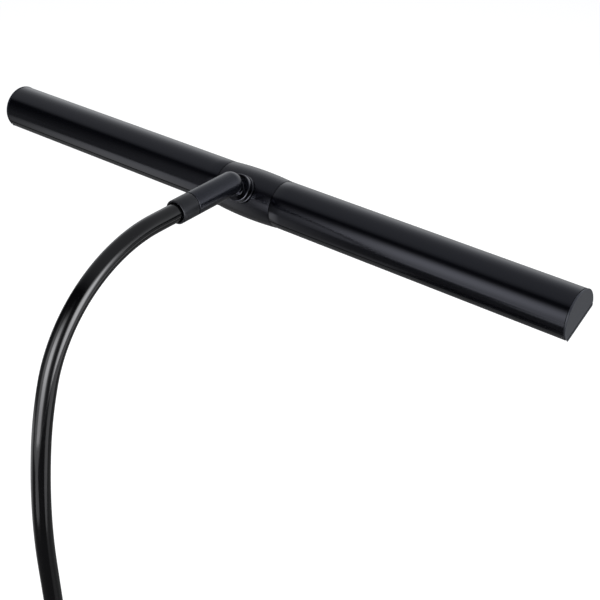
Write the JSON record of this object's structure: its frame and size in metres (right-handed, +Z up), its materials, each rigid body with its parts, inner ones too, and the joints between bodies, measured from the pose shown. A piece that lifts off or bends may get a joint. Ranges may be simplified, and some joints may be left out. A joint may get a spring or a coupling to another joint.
{
  "type": "piano lamp",
  "caption": "Black piano lamp: long D-section light bar on a swivelling hub, carried by a bent tube arm that turns in a flat weighted base.",
  "frame": {"origin": "middle of the base's underside, on the surface it stands on", "axes": "+Z up, +X along the light bar, +Y from the arm's foot towards the light bar"},
  "size_m": [0.45, 0.2464, 0.412],
  "materials": {
    "cover_paint": "black powder coat",
    "cast_weight": "raw casting",
    "zinc_steel": "zinc plated",
    "pad_rubber": "soft pad",
    "black_steel": "gloss black",
    "black_aluminium": "satin black anodised",
    "hub_aluminium": "satin black paint",
    "sleeve_black": "matte black",
    "plain_aluminium": "turned",
    "bush_plastic": "natural acetal",
    "cap_plastic": "fine textured dark grey",
    "button_plastic": "satin black",
    "jack_plastic": "black",
    "board_green": "solder mask",
    "board_white": "white solder mask",
    "led_yellow": "phosphor",
    "diffuser_opal": "opal",
    "lead_rubber": "black insulation",
    "spring_steel": "spring wire"
  },
  "bodies": {
    "base": {"base_cover": "cover_paint", "base_weight": "cast_weight", "base_plate": "zinc_steel", "base_pad": "pad_rubber", "plate_screws": "zinc_steel", "arm_socket": "black_steel", "socket_nut": "zinc_steel", "socket_bush": "bush_plastic", "dc_jack": "jack_plastic", "jack_nut": "zinc_steel", "control_board": "board_green", "board_spacers": "bush_plastic", "board_screws": "zinc_steel", "tact_switch": "jack_plastic", "button_guide": "button_plastic", "button_spring": "spring_steel", "base_lead": "lead_rubber"},
    "button": {"push_button": "button_plastic"},
    "arm": {"arm_tube": "black_steel", "arm_collar": "black_steel", "collar_screw": "zinc_steel", "arm_clip": "spring_steel", "arm_lead": "lead_rubber", "arm_sleeve": "sleeve_black", "sleeve_screw": "zinc_steel", "swivel_stud": "zinc_steel", "stud_clip": "spring_steel"},
    "swivel": {"swivel_tube": "black_steel", "swivel_bush": "bush_plastic", "pivot_post": "black_steel", "pivot_washer": "zinc_steel", "pivot_nut": "zinc_steel", "swivel_lead": "lead_rubber"},
    "hub": {"head_hub": "hub_aluminium", "collar_ring": "hub_aluminium", "axle_bushes": "bush_plastic"},
    "head": {"head_axle": "zinc_steel", "plug_screws": "zinc_steel", "tilt_washers": "spring_steel", "head_lead": "lead_rubber", "left_plug": "plain_aluminium", "left_housing": "black_aluminium", "left_end_cap": "cap_plastic", "left_diffuser": "diffuser_opal", "left_led_board": "board_white", "left_leds": "led_yellow", "right_plug": "plain_aluminium", "right_housing": "black_aluminium", "right_end_cap": "cap_plastic", "right_diffuser": "diffuser_opal", "right_led_board": "board_white", "right_leds": "led_yellow"}
  },
  "joints": [
    {"name": "arm_swivel", "type": "hinge", "parent": "base", "child": "arm", "pos_m": [0, -0.038, 0.02], "axis": [0, 0, 1], "range_deg": [-90, 90]},
    {"name": "swivel_turn", "type": "hinge", "parent": "arm", "child": "swivel", "pos_m": [0, 0.10022, 0.40446], "axis": [0, 1, 0], "range_deg": [-90, 90]},
    {"name": "hub_turn", "type": "hinge", "parent": "swivel", "child": "hub", "pos_m": [0, 0.15922, 0.38741], "axis": [0, -0.829, 0.5592], "range_deg": [-90, 90]},
    {"name": "head_tilt", "type": "hinge", "parent": "hub", "child": "head", "pos_m": [0, 0.15922, 0.38741], "axis": [1, 0, 0], "range_deg": [-60, 60]},
    {"name": "button_press", "type": "slide", "parent": "base", "child": "button", "axis": [0, 0, -1], "range_m": [0, 0.0012], "stiffness_N_per_m": 300, "springref_m": -0.002, "deforming": ["button_spring"]}
  ]
}
